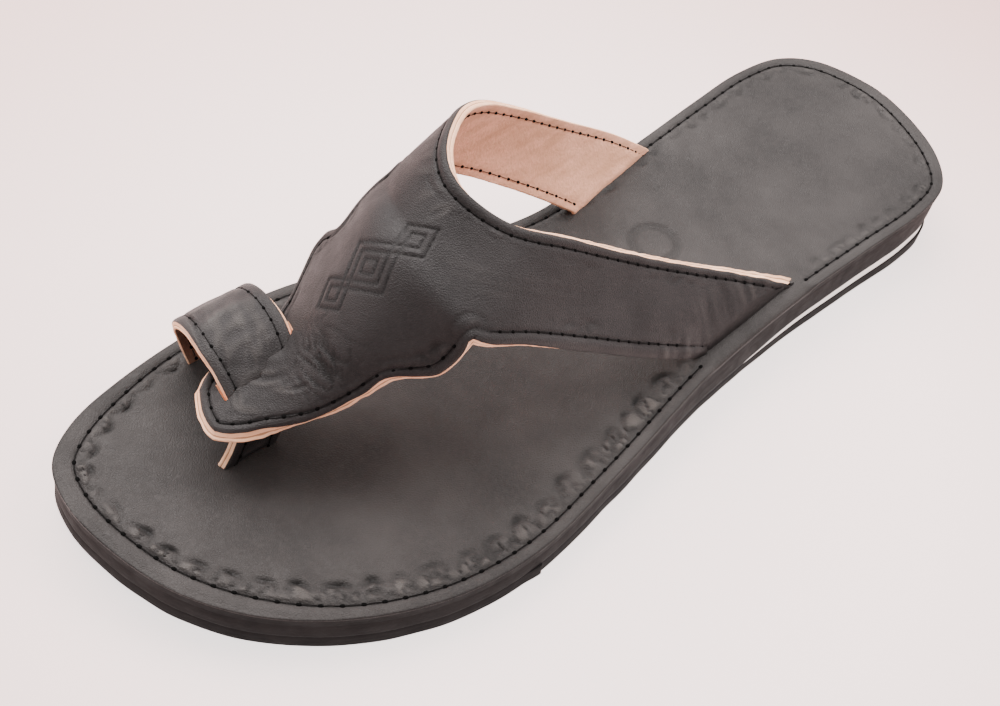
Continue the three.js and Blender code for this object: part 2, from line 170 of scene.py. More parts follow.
# Creases and folds drawn on the vamp: points on the leather, width, depth
VAMP_CREASES = [
    ([(-13.9, -192.3, 38.3), (-7.4, -191.8, 42.4), (-1.6, -190.6, 44.0), (4.2, -188.6, 42.8)],
     0.42, 0.55),
    ([(-13.0, -193.5, 37.7), (-7.5, -193.8, 40.0), (-2.2, -194.3, 40.0), (1.2, -194.0, 39.0)],
     0.42, 0.60),
    ([(-11.9, -194.5, 37.4), (-8.1, -195.8, 37.8), (-3.0, -197.0, 37.4), (-0.6, -196.5, 37.3)],
     0.45, 0.60),
    ([(-12.4, -192.0, 39.6), (-7.5, -190.7, 43.7), (-1.6, -189.0, 45.8), (3.4, -187.1, 45.2)],
     0.40, 0.45),
    ([(-8.6, -187.3, 47.5), (-4.0, -187.4, 47.9), (0.5, -186.2, 48.1), (3.1, -184.9, 48.1)],
     0.40, 0.35),
    ([(-14.0, -208.5, 29.0), (-10.0, -210.5, 29.4), (-5.5, -207.8, 30.6)], 0.60, 0.34),
    ([(-9.0, -203.0, 33.0), (-5.0, -200.5, 34.2), (-2.5, -196.8, 36.0)], 0.60, 0.42),
    ([(-15.4, -203.2, 29.5), (-11.5, -201.5, 32.0), (-8.5, -198.0, 35.0)], 0.90, 0.45),
]
# Short wrinkles by the strap's rear edge, and long faint marks down its outer arm
STRAP_CREASES = [
    ([(-25.8, -144.9, 70.6), (-28.6, -146.2, 67.0)], 0.7, 0.24),
    ([(-22.6, -148.6, 72.2), (-25.6, -150.2, 68.6)], 0.7, 0.24),
    ([(-19.8, -150.5, 72.6), (-22.6, -153.0, 69.2)], 0.7, 0.26),
    ([(-15.8, -154.2, 72.0), (-20.5, -156.0, 68.6)], 0.7, 0.24),
    ([(-10.9, -156.4, 71.4), (-13.8, -160.5, 68.0)], 0.7, 0.22),
    ([(-6.0, -156.4, 70.6), (-7.6, -160.6, 67.4)], 0.7, 0.20),
    ([(1.3, -165.3, 64.4), (10.5, -154.6, 60.8), (16.2, -138.8, 53.3), (19.9, -126.8, 46.4)],
     0.55, 0.14),
    ([(4.5, -166.0, 63.1), (11.9, -155.6, 59.7), (18.0, -140.0, 51.5), (22.3, -124.7, 43.4)],
     0.55, 0.12),
    ([(5.1, -168.2, 62.4), (10.2, -163.4, 60.8), (15.7, -152.0, 56.2)], 0.5, 0.12),
]
RING_CREASES = [
    ([(-37.0, -201.6, 33.2), (-30.0, -203.9, 35.0), (-26.3, -205.5, 34.6), (-20.5, -207.5, 31.5)],
     0.7, 0.55),
    ([(-33.8, -197.4, 35.1), (-27.8, -198.7, 35.9), (-22.2, -200.2, 35.4), (-17.5, -202.5, 31.5)],
     0.7, 0.50),
    ([(-31.0, -194.8, 36.1), (-24.3, -195.8, 36.6), (-18.0, -198.2, 33.8)], 0.7, 0.42),
    ([(-39.5, -206.0, 30.5), (-33.0, -207.5, 33.0), (-26.0, -209.5, 32.6)], 0.6, 0.35),
]
# A plain tooled device on the vamp: nested lozenges, their middles along it and their sizes
LOZENGES = ((-11.2, (5.6, 2.6)), (0.0, (8.6, 5.6, 2.6)), (11.2, (5.6, 2.6)))
TOOLING_AT = (-9.0, -177.0, 59.0)
TOOLING_RUN = (-0.28, -0.62, -0.61)
TOOLING_FACING = (0.05, -0.70, 0.71)
TOOLING_STROKE = 0.34
TOOLING_DEPTH = 0.42
SLIT_LIP_RISE = 1.5
# Middle of the fine wrinkles that fan out from the slit
FAN_AT = (-4.0, -192.5, 41.0)
# The raised lip of the slit that the ring goes down through
SLIT_LIP = [(-15.8, -207.3, 27.2), (-16.7, -203.4, 28.8), (-16.7, -198.9, 30.2), (-13.3, -196.8, 34.9),
            (-10.2, -195.8, 37.1)]
# A plain stamp of two rings on the insole, under the strap
STAMP_AT = (0.4, -76.0)
STAMP_RADII = (7.4, 6.0)
STAMP_STROKE = 0.75
STAMP_DEPTH = 0.42


def noise_at(points, size, seed=0):
    """Smooth noise between -1 and 1 at each point, with features about size mm across."""
    shift = Vector((17.3 * seed, 5.1 * seed, 9.7 * seed))
    return np.array([noise.noise(Vector(p) / size + shift) for p in points])


def between(t, p0, p1, m0, m1):
    """A cubic from p0 to p1 with the slopes m0 and m1 at its ends, at t from 0 to 1."""
    return ((2 * t**3 - 3 * t**2 + 1) * p0 + (t**3 - 2 * t**2 + t) * m0
            + (3 * t**2 - 2 * t**3) * p1 + (t**3 - t**2) * m1)


def curve_points(points, steps):
    """A smooth curve through the points, with steps[i] pieces from point i to the next."""
    p = np.asarray(points, float)
    p = np.vstack([2 * p[0] - p[1], p, 2 * p[-1] - p[-2]])
    pieces = []
    for i, count in enumerate(steps):
        p0, p1, p2, p3 = p[i:i + 4]
        t = (np.arange(count) / count)[:, None]
        pieces.append(between(t, p1, p2, (p2 - p0) / 2, (p3 - p1) / 2))
    pieces.append(p[-2:-1])
    return np.vstack(pieces)


def closed_curve(points, steps):
    """A closed centripetal curve through the points."""
    p = np.asarray(points, float)
    n = len(p)
    t = (np.arange(steps) / steps)[:, None]
    pieces = []
    for i in range(n):
        p0, p1, p2, p3 = p[i - 1], p[i], p[(i + 1) % n], p[(i + 2) % n]
        d0, d1, d2 = (math.sqrt(np.linalg.norm(b - a)) for a, b in ((p0, p1), (p1, p2), (p2, p3)))
        m1 = ((p1 - p0) / d0 - (p2 - p0) / (d0 + d1) + (p2 - p1) / d1) * d1
        m2 = ((p2 - p1) / d1 - (p3 - p1) / (d1 + d2) + (p3 - p2) / d2) * d1
        pieces.append(between(t, p1, p2, m1, m2))
    return np.vstack(pieces)


def table_value(rows, share):
    """Value of a short table at a share of the length, on a smooth curve through its rows."""
    last = len(rows) - 1
    i = 0
    while i < last - 1 and share > rows[i + 1][0]:
        i += 1

    def slope(k):
        before = rows[max(k - 1, 0)]
        after = rows[min(k + 1, last)]
        return (after[1] - before[1]) / (after[0] - before[0])

    (x0, y0), (x1, y1) = rows[i], rows[i + 1]
    run = x1 - x0
    t = min(max((share - x0) / run, 0), 1)
    m0 = 0 if y0 == y1 else slope(i) * run
    m1 = 0 if y0 == y1 else slope(i + 1) * run
    return between(t, y0, y1, m0, m1)


# Heights of the layers at fine steps along the sole, worked out once
FINE_Y = np.linspace(HEEL_BACK - SOLE_LENGTH - 5, HEEL_BACK + 5, 1200)
FINE_ALONG = (HEEL_BACK - FINE_Y) / SOLE_LENGTH
FINE_SPRING = TOE_SPRING * (np.maximum(FINE_ALONG - SPRING_START, 0) / (1 - SPRING_START)) ** 2
FINE_TOP = np.array([table_value(FOOTBED, a) for a in FINE_ALONG]) + FINE_SPRING
FINE_WEDGE = np.maximum([table_value(WEDGE_RUN, a) for a in FINE_ALONG], 0) * WEDGE_THICK


def spring(y):
    return np.interp(y, FINE_Y, FINE_SPRING)


def insole_top(y):
    return np.interp(y, FINE_Y, FINE_TOP)


def insole_bottom(y):
    return insole_top(y) - INSOLE_THICK


def outsole_top(y):
    """Top of the outsole, which takes a little of the wedge's height as it is pressed round the heel."""
    return OUTSOLE_THICK + spring(y) + PRESSED_SHARE * np.interp(y, FINE_Y, FINE_WEDGE)


def wedge_top(y):
    return OUTSOLE_THICK + spring(y) + np.interp(y, FINE_Y, FINE_WEDGE)


def smooth_step(value, low, high):
    t = np.clip((np.asarray(value, float) - low) / (high - low), 0, 1)
    return t * t * (3 - 2 * t)


def outline_loop(first_share=0.0, last_share=1.0, step=1.0):
    """The sole's outline as one loop: down the outer side to the toe and back up the inner side."""
    rim = [(across * BALL_WIDTH, HEEL_BACK - along * SOLE_LENGTH)
           for along, across in OUTER_SIDE + INNER_SIDE]
    fine = closed_curve(rim, 40)
    back, tip = int(np.argmax(fine[:, 1])), int(np.argmin(fine[:, 1]))
    n = len(fine)
    outer = fine[[(back + k) % n for k in range((tip - back) % n + 1)]]
    inner = fine[[(back - k) % n for k in range((back - tip) % n + 1)]]
    y0 = fine[back, 1] + first_share * (fine[tip, 1] - fine[back, 1])
    y1 = fine[back, 1] + last_share * (fine[tip, 1] - fine[back, 1])
    ys = np.linspace(y0, y1, 2400)
    sides = [np.interp(-ys, -side[:, 1], side[:, 0]) for side in (outer, inner)]
    steepness = np.maximum.reduce([np.abs(np.gradient(x, ys)) for x in sides])
    weight = np.cumsum(np.clip(steepness * 1.2, 1, 7)) * abs(ys[1] - ys[0])
    count = int(weight[-1] / step)
    y = np.interp(np.linspace(weight[0], weight[-1], count), weight, ys)
    xo, xi = (np.interp(-y, -ys, x) for x in sides)
    return np.vstack([np.column_stack([xo, y]), np.column_stack([xi, y])[::-1]])


def unit(vectors):
    return vectors / np.linalg.norm(vectors, axis=1)[:, None]


def loop_inward(loop):
    """Unit vectors that point into a loop."""
    run = unit(np.roll(loop, -1, 0) - np.roll(loop, 1, 0))
    return np.column_stack([run[:, 1], -run[:, 0]])


def grid_quads(rows):
    """Faces of a grid of vertex numbers."""
    rows = np.asarray(rows)
    return np.stack([rows[:-1, :-1], rows[1:, :-1], rows[1:, 1:], rows[:-1, 1:]], axis=-1).reshape(-1, 4)


def running_mean(padded, kernel):
    return np.column_stack([np.convolve(column, kernel, "valid") for column in padded.T])


def side_inset(z, y):
    """How far the side stands in from the insole's edge at a height over the floor."""
    down = np.clip(1 - z / insole_bottom(y), 0, 1)
    near_back = smooth_step(y, HEEL_BACK - BALL_WIDTH * 0.3, HEEL_BACK)
    return SIDE_SETBACK - SIDE_FLARE * down * (1 - near_back) + HEEL_RAKE * down * near_back


def nearest(points, line):
    """Distance from each point to a line of points, and the index of the nearest one."""
    distance = np.empty(len(points))
    index = np.empty(len(points), int)
    for k in range(0, len(points), 4000):
        d = np.linalg.norm(points[k:k + 4000, None, :] - line[None, :, :], axis=2)
        index[k:k + 4000] = np.argmin(d, 1)
        distance[k:k + 4000] = np.min(d, 1)
    return distance, index


def lengths_along(line):
    return np.concatenate([[0], np.cumsum(np.linalg.norm(np.diff(line, axis=0), axis=1))])


def bell(distance, width):
    return np.exp(-(distance / width) ** 2)


def make_piece(name, vertices, faces, materials, indexes=None, sharp=40, wear_and_shade=None):
    """A smooth-shaded mesh object from lengths in millimetres."""
    mesh = bpy.data.meshes.new(name)
    mesh.from_pydata((np.asarray(vertices, float) * MM).tolist(), [], faces)
    for material in materials:
        mesh.materials.append(material)
    if indexes is not None:
        mesh.polygons.foreach_set("material_index", np.asarray(indexes, np.int32))
    mesh.polygons.foreach_set("use_smooth", np.ones(len(mesh.polygons), bool))
    if sharp:
        mesh.set_sharp_from_angle(angle=math.radians(sharp))
    if wear_and_shade is not None:
        mesh.attributes.new("wear_and_shade", "FLOAT", "POINT").data.foreach_set(
            "value", np.asarray(wear_and_shade, np.float32))
    mesh.update()
    piece = bpy.data.objects.new(name, mesh)
    bpy.context.scene.collection.objects.link(piece)
    return piece


# Materials

# Near black for painted shade, and a pale for rubbed wear and for painted highlights on ridges
PAINTED_SHADE_BLACK = (0.0035, 0.003, 0.003)
RUBBED_AND_HIGHLIGHT_PALE = (0.115, 0.102, 0.095)
RUBBER_BLACKS = (0.0105, 0.0095, 0.0097), (0.0165, 0.0150, 0.0150)
LEATHER_GLOSS = 0.15
RUBBER_GLOSS = 0.05


def shader(name):
    material = bpy.data.materials.new(name)
    material.use_nodes = True
    tree = material.node_tree
    tree.nodes.clear()
    output = tree.nodes.new("ShaderNodeOutputMaterial")
    surface = tree.nodes.new("ShaderNodeBsdfPrincipled")
    tree.links.new(surface.outputs["BSDF"], output.inputs["Surface"])
    place = tree.nodes.new("ShaderNodeTexCoord").outputs["Object"]
    return material, tree, surface, place


def feed(node, **values):
    """Sets or links a node's inputs. A _ stands for each space in an input's name."""
    for name, value in values.items():
        socket = node.inputs[name.replace("_", " ")]
        if isinstance(value, bpy.types.NodeSocket):
            node.id_data.links.new(value, socket)
        elif socket.type == "RGBA":
            socket.default_value = (*value, 1)
        else:
            socket.default_value = value
    return node


def noise_node(place, size, detail, stretch=None):
    """Noise with features about size mm across, stretched along an axis where stretch is given."""
    if stretch is not None:
        mapping = feed(place.id_data.nodes.new("ShaderNodeMapping"), Scale=stretch, Vector=place)
        place = mapping.outputs["Vector"]
    node = place.id_data.nodes.new("ShaderNodeTexNoise")
    feed(node, Scale=1 / (size * MM), Detail=detail, Roughness=0.55, Vector=place)
    return node.outputs["Fac"]


def cells_node(place, size):
    node = place.id_data.nodes.new("ShaderNodeTexVoronoi")
    node.feature = "DISTANCE_TO_EDGE"
    return feed(node, Scale=1 / (size * MM), Vector=place).outputs["Distance"]


def ranged(value, low, high, to_low=0.0, to_high=1.0):
    node = value.id_data.nodes.new("ShaderNodeMapRange")
    feed(node, From_Min=low, From_Max=high, To_Min=to_low, To_Max=to_high, Value=value)
    return node.outputs["Result"]


def maths(operation, a, b):
    """A sum or a product of a socket and a socket or a number."""
    tree = a.id_data
    node = tree.nodes.new("ShaderNodeMath")
    node.operation = operation
    tree.links.new(a, node.inputs[0])
    if isinstance(b, float):
        node.inputs[1].default_value = b
    else:
        tree.links.new(b, node.inputs[1])
    return node.outputs["Value"]


def mixed(factor, a, b):
    node = factor.id_data.nodes.new("ShaderNodeMix")
    node.data_type = "RGBA"
    return feed(node, Factor=factor, A=a, B=b).outputs["Result"]


def bumped(surface, height, depth, strength, under=None):
    """Raises the surface by a height, on top of the bump under it where one is given."""
    node = surface.id_data.nodes.new("ShaderNodeBump")
    feed(node, Strength=strength, Distance=depth * MM, Height=height)
    if under is not None:
        feed(node, Normal=under)
    feed(surface, Normal=node.outputs["Normal"])
    return node.outputs["Normal"]


def wear_and_shade_of(tree):
    """The tone painted on a mesh: above zero where it is rubbed pale and on ridges with a painted
    highlight, below zero where it is darkened, mostly by painted shade in hollows and creases.
    """
    node = tree.nodes.new("ShaderNodeAttribute")
    node.attribute_name = "wear_and_shade"
    return node.outputs["Fac"]


def dark_leather(name, dark, light, pale, roughness):
    """Waxed dark leather: soft clouds, a fine grain, pale where it is rubbed and on ridges with a
    painted highlight, near black where painted shade is laid in its hollows.
    """
    material, tree, surface, place = shader(name)
    clouds = ranged(noise_node(place, 26, 4), 0.35, 0.68)
    colour = mixed(clouds, dark, light)
    mottle = ranged(noise_node(place, 1.1, 4), 0.45, 0.75, 0, 0.5)
    colour = mixed(mottle, colour, light)
    # Above zero the tone mixes in the pale: rubbed wear, and painted highlights on ridges
    marks = ranged(wear_and_shade_of(tree), 0, 1, 0, 0.8)
    colour = mixed(marks, colour, pale)
    # Below zero the tone mixes in near black: painted shade in hollows, creases and stitch lines, and
    # the darker tooled and stamped lines
    painted_shade_mix = ranged(wear_and_shade_of(tree), -1, 0, 0.88, 0)
    colour = mixed(painted_shade_mix, colour, PAINTED_SHADE_BLACK)
    rough = ranged(noise_node(place, 6, 4), 0.3, 0.7, roughness - 0.06, roughness + 0.08)
    feed(surface, Base_Color=colour, Roughness=rough, Specular_IOR_Level=LEATHER_GLOSS)
    pores = ranged(cells_node(place, 0.6), 0.0, 0.25)
    fine = maths("ADD", pores, maths("MULTIPLY", noise_node(place, 0.42, 4), 1.4))
    first = bumped(surface, noise_node(place, 3.2, 4), 0.12, 0.5)
    bumped(surface, fine, 0.085, 0.8, first)
    return material


def flesh_leather(name, tint, shade, depth):
    """The undyed side or cut edge: fibres and soft swirls."""
    material, tree, surface, place = shader(name)
    swirl = ranged(noise_node(place, 5, 6, (1.0, 0.40, 1.6)), 0.38, 0.66)
    colour = mixed(swirl, tint, shade)
    fleck = ranged(noise_node(place, 0.9, 4), 0.46, 0.72, 0, 0.7)
    colour = mixed(fleck, colour, shade)
    feed(surface, Base_Color=colour, Roughness=0.82, Specular_IOR_Level=LEATHER_GLOSS,
         Sheen_Weight=0.05)
    fibres = maths("ADD", noise_node(place, 0.8, 4), noise_node(place, 2.6, 4))
    bumped(surface, fibres, depth, 0.8)
    return material


def sole_rubber(name, dark, light, roughness, depth):
    """Matt rubber or foam with trimming marks along the floor."""
    material, tree, surface, place = shader(name)
    colour = mixed(ranged(noise_node(place, 12, 5), 0.35, 0.7), dark, light)
    drag = ranged(noise_node(place, 5, 4, (0.35, 0.35, 3.0)), 0.55, 0.75, 0, 0.5)
    colour = mixed(drag, colour, light)
    rough = ranged(noise_node(place, 4, 3), 0.3, 0.7, roughness - 0.06, roughness + 0.08)
    feed(surface, Base_Color=colour, Roughness=rough, Specular_IOR_Level=RUBBER_GLOSS)
    first = bumped(surface, noise_node(place, 1.1, 4), depth, 0.8)
    bumped(surface, noise_node(place, 6, 3, (0.4, 0.4, 2.5)), depth * 3, 0.5, first)
    return material


def thread_material(name, colour):
    material, tree, surface, place = shader(name)
    shade = tuple(c * 0.5 for c in colour)
    tint = mixed(ranged(noise_node(place, 0.5, 2), 0.35, 0.65), shade, colour)
    feed(surface, Base_Color=tint, Roughness=0.8, Specular_IOR_Level=RUBBER_GLOSS)
    bumped(surface, noise_node(place, 0.35, 2), 0.08, 0.8)
    return material


UPPER_LEATHER = dark_leather("waxed_upper", (0.0172, 0.0150, 0.0154), (0.0300, 0.0267, 0.0271),
                             RUBBED_AND_HIGHLIGHT_PALE, 0.50)
RING_LEATHER = dark_leather("waxed_ring", (0.0205, 0.0180, 0.0184), (0.0360, 0.0320, 0.0325),
                            RUBBED_AND_HIGHLIGHT_PALE, 0.48)
INSOLE_LEATHER = dark_leather("waxed_insole", (0.0240, 0.0210, 0.0206), (0.0430, 0.0380, 0.0370),
                              (0.130, 0.115, 0.106), 0.50)
CREAM_EDGE = flesh_leather("cut_edge", (0.97, 0.60, 0.40), (0.86, 0.46, 0.28), 0.14)
GLUE_LINE = flesh_leather("glue_line", (0.52, 0.26, 0.15), (0.36, 0.17, 0.09), 0.08)
LINING = flesh_leather("lining_leather", (0.92, 0.47, 0.32), (0.70, 0.35, 0.22), 0.22)
# The ring's lining is the lining leather made much darker: painted shade for the inside of the ring
RING_LINING_SHADED = flesh_leather("ring_lining_painted_shade", (0.20, 0.105, 0.07), (0.12, 0.062, 0.042), 0.18)
MIDSOLE_RUBBER = sole_rubber("midsole_black", *RUBBER_BLACKS, 0.66, 0.12)
OUTSOLE_RUBBER = sole_rubber("outsole_black", *RUBBER_BLACKS, 0.72, 0.14)
WEDGE_FOAM = sole_rubber("wedge_white", (0.88, 0.84, 0.81), (0.96, 0.93, 0.90), 0.75, 0.05)
BLACK_THREAD = thread_material("black_thread", (0.013, 0.0115, 0.0115))
# Black caps over the stitch holes: painted shade for the holes
HOLE_SHADE_BLACK = thread_material("stitch_hole_shade", (0.002, 0.0018, 0.0018))
DYED_EDGE = sole_rubber("dyed_edge", (0.0065, 0.0060, 0.0061), (0.0100, 0.0092, 0.0092), 0.66, 0.10)


# Stitches

def stitches(name, path, normals, pitch, hole=HOLE, thread=THREAD, rest=0.35):
    """A run of sewn thread: it lies on the leather from hole to hole and dives in at each one.

    rest is how much of a hole's radius stays bare on each side of a stitch.
    """
    along = lengths_along(path)
    count = max(int(round(along[-1] / pitch)), 2)
    marks = np.linspace(0, along[-1], count + 1)

    def sample(s):
        p, n = (np.column_stack([np.interp(s, along, line[:, k]) for k in range(3)])
                for line in (path, normals))
        return p, unit(n)

    vertices, faces = [], []
    lift = thread * (1.9 * np.sin(np.linspace(0, np.pi, THREAD_BENDS)) ** 0.6 - 1.25)
    turn = 2 * np.pi * np.arange(THREAD_SIDES)[:, None] / THREAD_SIDES
    ids = np.arange(THREAD_BENDS * THREAD_SIDES).reshape(THREAD_BENDS, THREAD_SIDES).T
    tube = grid_quads(np.vstack([ids, ids[:1]]))
    for a, b in zip(marks[:-1], marks[1:]):
        p, n = sample(np.linspace(a + hole * rest, b - hole * rest, THREAD_BENDS))
        centre = p + n * lift[:, None]
        run = unit(np.gradient(centre, axis=0))
        side = unit(np.cross(run, n))
        up = np.cross(side, run)
        faces += (tube + len(vertices)).tolist()
        for k in range(THREAD_BENDS):
            vertices += list(centre[k] + thread * (np.cos(turn) * side[k] + np.sin(turn) * up[k]))
    index = [0] * len(faces)
    p, n = sample(marks)
    ahead, _ = sample(np.minimum(marks + 0.2, along[-1]))
    behind, _ = sample(np.maximum(marks - 0.2, 0))
    run = unit(ahead - behind)
    side = np.cross(run, n)
    turn = 2 * np.pi * np.arange(HOLE_SIDES)[:, None] / HOLE_SIDES
    # Each hole is a small black cap: painted shade for the dark inside the hole
    for k in range(len(marks)):
        start = len(vertices)
        oval = hole * (1.2 * np.cos(turn) * run[k] + 0.85 * np.sin(turn) * side[k])
        vertices.append(p[k] + n[k] * 0.20)
        for radius, height in ((0.7, 0.16), (1.0, -0.16)):
            vertices += list(p[k] + radius * oval + n[k] * height)
        for m in range(HOLE_SIDES):
            a, b = start + 1 + m, start + 1 + (m + 1) % HOLE_SIDES
            faces += [(start, a, b), (a, a + HOLE_SIDES, b + HOLE_SIDES, b)]
            index += [1, 1]
    piece = make_piece(name, vertices, faces, [BLACK_THREAD, HOLE_SHADE_BLACK], index, sharp=0)
    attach(piece, "root")
    return piece


# The sole

def sole_layer(name, loop, rows, materials, node, columns=None, top_shape=None, wall_index=0):
    """A closed layer: rows are (height, inset) of the wall from bottom to top at each loop point.

    columns gives the shares across the top where top_shape works out height, wear and painted shade.
    wall_index is the wall's material, and the bottom's.
    """
    inward = loop_inward(loop)
    n = len(loop)
    vertices = [np.column_stack([loop + inward * inset[:, None], height]) for height, inset in rows]
    k = np.arange(n)
    m = (k + 1) % n
    faces = []
    for low in range(0, (len(rows) - 1) * n, n):
        faces += np.column_stack([low + n + k, low + n + m, low + m, low + k]).tolist()
    k = k[:n // 2]
    across = np.column_stack([k, n - 1 - k])
    faces += grid_quads(across)[:, [3, 2, 1, 0]].tolist()
    index = [wall_index] * len(faces)
    across = across + (len(rows) - 1) * n
    wear_and_shade = [np.zeros(n * len(rows))]
    if columns is not None:
        outer, inner = vertices[-1][k, :2], vertices[-1][n - 1 - k, :2]
        shares = columns(np.linalg.norm(outer - inner, axis=1))
        flat = (outer[:, None, :] + (inner - outer)[:, None, :] * shares[:, :, None]).reshape(-1, 2)
        z, wear_and_shade_there = top_shape(flat)
        vertices.append(np.column_stack([flat, z]))
        wear_and_shade.append(wear_and_shade_there)
        middle = len(rows) * n + np.arange(shares.size).reshape(shares.shape)
        across = np.column_stack([across[:, 0], middle, across[:, 1]])
    faces += grid_quads(across).tolist()
    index += [0] * (len(faces) - len(index))
    piece = make_piece(name, np.vstack(vertices), faces, materials, index, wear_and_shade=np.concatenate(wear_and_shade))
    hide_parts(node)
    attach(piece, "root")
    return piece


def wall_rows(loop, low, high, count, corner, bulge):
    """Heights and insets of a wall with rounded corners between two heights."""
    y = loop[:, 1]
    z0, z1 = low(y), high(y)
    steps = [(0.0, corner), (corner * 0.3, corner * 0.35), (corner, 0.0)]
    rows = [(z0 + up, inset) for up, inset in steps]
    for k in range(1, count):
        z = z0 + corner + (z1 - z0 - 2 * corner) * k / count
        rows.append((z, -bulge * math.sin(math.pi * k / count)))
    rows += [(z1 - up, inset) for up, inset in reversed(steps)]
    return [(z, side_inset(z, y) + inset) for z, inset in rows]


OUTLINE = outline_loop(step=0.62)
EDGE_LENGTHS = lengths_along(np.vstack([OUTLINE, OUTLINE[:1]]))


def stitch_inset(y):
    """The stitches run further in round the toe and the heel."""
    toe = smooth_step(-y, SOLE_LENGTH - HEEL_BACK - 42, SOLE_LENGTH - HEEL_BACK - 8)
    heel = smooth_step(y, HEEL_BACK - 26, HEEL_BACK - 3)
    return SOLE_STITCH_IN + SOLE_STITCH_ENDS * np.maximum(toe, heel)


def edge_gathers(along, inside, where, reach, pitch, seed):
    """Leather gathered beside a line of stitches: its height, and its tone.

    along runs with the stitches, inside is the distance from them, and reach is how far in the
    crescent-shaped hollows lie that end the gathers. The tone is above zero on the ridges, for
    rubbed wear and a painted highlight, and below zero for painted shade in the hollows and valleys.
    """
    phase = along / pitch + 0.55 * noise_at(where, 15, seed)
    turn = np.round(phase)
    aside = (phase - turn) * pitch
    own = noise_at(np.column_stack([turn * 1.7, turn * 0.3, turn * 0]), 1.0, seed + 1)
    end = reach * (1 + 0.30 * own) + 0.9 * noise_at(where, 4, seed + 2)
    bend = inside + 0.085 * aside**2 - end
    hollow = bell(aside, 2.9) * bell(bend, 0.8) * np.clip(0.75 + 0.9 * own, 0.25, 1.1)
    band = smooth_step(inside, 0.35, 1.3) * (1 - smooth_step(bend, -1.5, 0.4))
    own_plane = np.full(len(along), 3.7 * seed)
    lines = noise_at(np.column_stack([along, inside * 0.45, own_plane]), 2.1, seed + 3)
    valleys = np.exp(-(lines / 0.13) ** 2)
    lumps = noise_at(where, 3.0, seed + 4)
    height = band * (0.24 + 0.45 * lumps - 0.48 * valleys) - 0.85 * hollow
    # Pale on the lumps for rubbed wear and a painted highlight; painted shade in the hollows and in the
    # valleys between the lumps
    tone = band * np.clip(0.12 + 0.4 * lumps - 0.7 * valleys, 0, 1)
    tone = tone - 0.95 * hollow - 0.55 * band * valleys
    return height, tone


def strap_foot(rim):
    """One where the strap's outer foot goes down by the sole's edge, else nothing."""
    start, full, end, over = STRAP_FOOT
    there = smooth_step(-rim[:, 1], start, full) * (1 - smooth_step(-rim[:, 1], end, over))
    return there * (rim[:, 0] > 0)


def insole_surface(xy):
    """Height of the insole's dressed top, and its tone."""
    distance, index = nearest(xy, OUTLINE)
    along = EDGE_LENGTHS[index]
    y = xy[:, 1]
    stitch = stitch_inset(OUTLINE[index, 1])
    points = np.column_stack([xy, np.zeros(len(xy))])
    z = insole_top(y)
    foot = strap_foot(OUTLINE[index])
    corner = np.clip(1 - distance / (RIM_RADIUS + 3.4 * foot), 0, 1)
    z = z - (RIM_RADIUS + FOOT_DROP * foot) * (1 - np.sqrt(1 - corner**2 * 0.98))
    stitched = 1 - foot
    z = z - stitched * 0.34 * bell(distance - stitch, 0.55)
    z = z + stitched * 0.16 * bell(distance - 0.5 * stitch, 0.9)
    toe = smooth_step(-y, 185, 225)
    heel = smooth_step(y, -10, 25)
    ball = smooth_step(-y, 95, 120)
    outer_ball = ball * smooth_step(xy[:, 0], -5, 30)
    strength = 0.55 + 0.60 * outer_ball + 0.40 * toe + 0.15 * heel
    strength = np.clip(strength * (0.95 + 0.5 * noise_at(points, 22, 3)), 0, 1.1) * stitched
    reach = 3.7 + 2.4 * outer_ball * (1 - 0.6 * toe)
    gathers, tone = edge_gathers(along, distance - stitch, points, reach, 8.8, 5)
    z = z + strength * gathers
    # Broad hollows from wear, under the heel and the ball
    z = z - 0.45 * bell(np.hypot(xy[:, 0] + 1, (y + 2) * 0.8), 26)
    z = z - 0.35 * bell(np.hypot(xy[:, 0] - 3, (y + 165) * 0.7), 30)
    z = z + 0.16 * noise_at(points, 30, 7) + 0.06 * noise_at(points, 8, 8)
    r = np.hypot(xy[:, 0] - STAMP_AT[0], xy[:, 1] - STAMP_AT[1])
    stamp = sum(bell(r - radius, STAMP_STROKE) for radius in STAMP_RADII)
    z = z - STAMP_DEPTH * stamp
    # Painted shade along the rounded rim and in the stitch groove; the stamp's rings are darker
    tone = tone * strength - 0.55 * bell(distance, 0.45) - 0.35 * stamp
    tone = tone - 0.5 * stitched * bell(distance - stitch, 0.5)
    return z, np.clip(tone, -1, 1)


def insole_columns(widths):
    """Shares across the insole: close together near each edge, wider apart in the middle."""
    near = np.concatenate([[0.08, 0.2, 0.36, 0.56, 0.8, 1.1, 1.5, 2.0], np.arange(2.4, 13.6, 0.5)])
    rows = []
    for width in widths:
        edge = near * min(1.0, width / 2 / 20)
        middle = np.linspace(edge[-1], width - edge[-1], 72)[1:-1]
        rows.append(np.concatenate([edge, middle, width - edge[::-1]]) / max(width, 1e-6))
    return np.array(rows)


